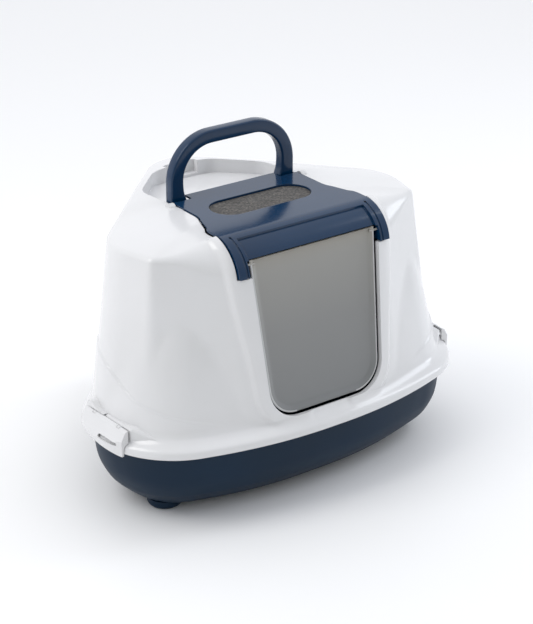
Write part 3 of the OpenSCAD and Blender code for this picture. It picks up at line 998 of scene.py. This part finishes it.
def build_clip(side, body, node):
    """A snap clip: a curved cover over the rim with a finger slot and a hinge bar."""
    hinge, out, along = vertex_frame(side)
    hinge_z = clip_axis[2]
    foot_z = clip_low[2]
    start = clip_radius - clip_reach
    vertex = hinge - out * start

    def place(outwards, sideways, z):
        flat = vertex + np.outer(outwards, out) + np.outer(sideways, along)
        return np.column_stack([flat, z])

    def cut_through(name, outline, first, last):
        """A prism that runs outwards, from an outline along the hinge and up."""

        def spot(points, end):
            outwards = np.full(len(points), last if end else first)
            return place(outwards, points[:, 0], points[:, 1])

        return prism(name, outline, spot)

    def cover(name, drop, r, half):
        section = np.array(
            [
                (start, hinge_z + 3 - drop),
                (start + 5, hinge_z + 0.5 - drop),
                (start + 10, flange_z + 10 - drop),
                (start + 15, flange_z + 5 - drop),
                (start + 17.6 - drop * 0.5, flange_z + 1 - drop),
                (start + clip_reach, flange_z - 4),
                (start + clip_reach, 0),
                (start, 0),
            ]
        )

        def spot(points, end):
            return place(points[:, 0], np.full(len(points), half if end else -half), points[:, 1])

        solid = prism(name, section, spot)
        turns = np.linspace(0, 2 * math.pi, 240, endpoint=False)
        round_plan = vertex + r * (np.cos(turns)[:, None] * out + np.sin(turns)[:, None] * along)
        return combine(solid, z_prism("round", round_plan, foot_z, foot_z + 60), "INTERSECT")

    clip = cover(node + "_cover", 0, clip_radius, clip_half)
    combine(clip, cover("hollow", wall, clip_radius - wall, clip_half - wall))
    combine(clip, grown_hood())
    slot_box = rounded_box(-37, 0, 2.2, 2.0) * [side, 1] + [0, flange_z + 3]
    combine(clip, cut_through("slot", slot_box, clip_radius - 14, clip_radius + 6))
    # The lower edge rises towards the back end
    ends = side * np.array([-50, 50, 50])
    rise = np.column_stack([ends, [foot_z - 1, foot_z - 1, foot_z + 13]])
    combine(clip, cut_through("under", rise, clip_radius - 30, clip_radius + 10))
    for end in (-1, 1):
        # Room for the hood's lug, open inwards and upwards
        box = rectangle(start - 6, start + 3.4, knuckle_half, 2 * lug_run - knuckle_half)
        gap = place(box[:, 0], end * box[:, 1], np.zeros(len(box)))[:, :2]
        combine(clip, z_prism("lug_gap", gap, hinge_z - 3.4, hinge_z + 12))
    line = [*along, 0]
    combine(clip, bar("knuckle", [*hinge, hinge_z], line, knuckle_r, knuckle_half), "UNION")
    combine(clip, bar("pin", [*hinge, hinge_z], line, 1.5, lug_run + lug_half), "UNION")
    return finish_piece(clip, body, node, white_plastic, 30)


def dress(node, material):
    """Gives a CAD node that stays in view its own material."""
    shown = frame["nodes"][node]
    shown.data.materials.clear()
    shown.data.materials.append(material)


# ---- Stage ----
def add_camera():
    """The three-quarter view from the front left, a little above the roof."""
    data = bpy.data.cameras.new("camera")
    data.lens = 104.1
    data.sensor_width = 36
    camera = bpy.data.objects.new("camera", data)
    bpy.context.scene.collection.objects.link(camera)
    camera.location = (-1.3029, -1.8682, 1.2271)
    camera.rotation_euler = (math.radians(90 - 24.58), 0, math.radians(-35.85))
    bpy.context.scene.camera = camera


def add_light(name, place, aim, size, power, colour):
    """A soft rectangular lamp at place that points at aim."""
    data = bpy.data.lights.new(name, "AREA")
    data.shape = "RECTANGLE"
    data.size, data.size_y = size
    data.energy = power
    data.color = colour
    light = bpy.data.objects.new(name, data)
    bpy.context.scene.collection.objects.link(light)
    light.location = place
    light.rotation_euler = (Vector(aim) - Vector(place)).to_track_quat("-Z", "Y").to_euler()


def add_floor():
    """A pale floor, 12 m square."""
    half = 6 / MM
    corners = np.column_stack([rectangle(-half, half, -half, half), np.zeros(4)])
    floor = mesh_object("floor", corners, [(0, 1, 2, 3)])
    material, _, _, shader = new_material("floor")
    shader.inputs["Base Color"].default_value = (0.93, 0.93, 0.93, 1)
    shader.inputs["Roughness"].default_value = 0.55
    floor.data.materials.append(material)


def add_world():
    """A white room that is dimmer behind the camera, so that the front facets shade."""
    world = bpy.data.worlds.new("studio")
    world.use_nodes = True
    nodes, links = world.node_tree.nodes, world.node_tree.links
    place = nodes.new("ShaderNodeTexCoord")
    facing = nodes.new("ShaderNodeVectorMath")
    facing.operation = "DOT_PRODUCT"
    facing.inputs[1].default_value = (-0.35, -0.9, -0.25)
    links.new(place.outputs["Generated"], facing.inputs[0])
    shares = nodes.new("ShaderNodeMapRange")
    shares.inputs["From Min"].default_value = -0.3
    shares.inputs["From Max"].default_value = 0.9
    links.new(facing.outputs["Value"], shares.inputs["Value"])
    stops = [
        (0.0, (0.96, 0.97, 1.0, 1)),
        (0.5, (0.77, 0.79, 0.85, 1)),
        (1.0, (0.36, 0.37, 0.33, 1)),
    ]
    shade = ramp(nodes, links, shares.outputs["Result"], stops)
    background = nodes["Background"]
    links.new(shade, background.inputs["Color"])
    background.inputs["Strength"].default_value = 1.04
    bpy.context.scene.world = world


hood_rings = outer_rings()
build_hood(hood_rings)
build_pan()
for foot_node in ("foot_left", "foot_right", "foot_back"):
    build_foot(foot_node)
build_lid()
build_handle()
build_door()
build_pad()
build_clip(-1, "left_clip", "clip_left")
build_clip(1, "right_clip", "clip_right")
dress("filter_holder", navy_satin)

add_camera()
add_floor()
add_world()
add_light("key", (-1.4, 0.3, 1.9), (0, 0, 0.2), (1.0, 1.4), 14, (1, 0.99, 0.96))
add_light("strip", (1.7, -0.5, 1.2), (0, 0, 0.25), (0.5, 1.6), 8, (0.88, 0.93, 1))
bpy.context.scene.view_settings.view_transform = "Standard"
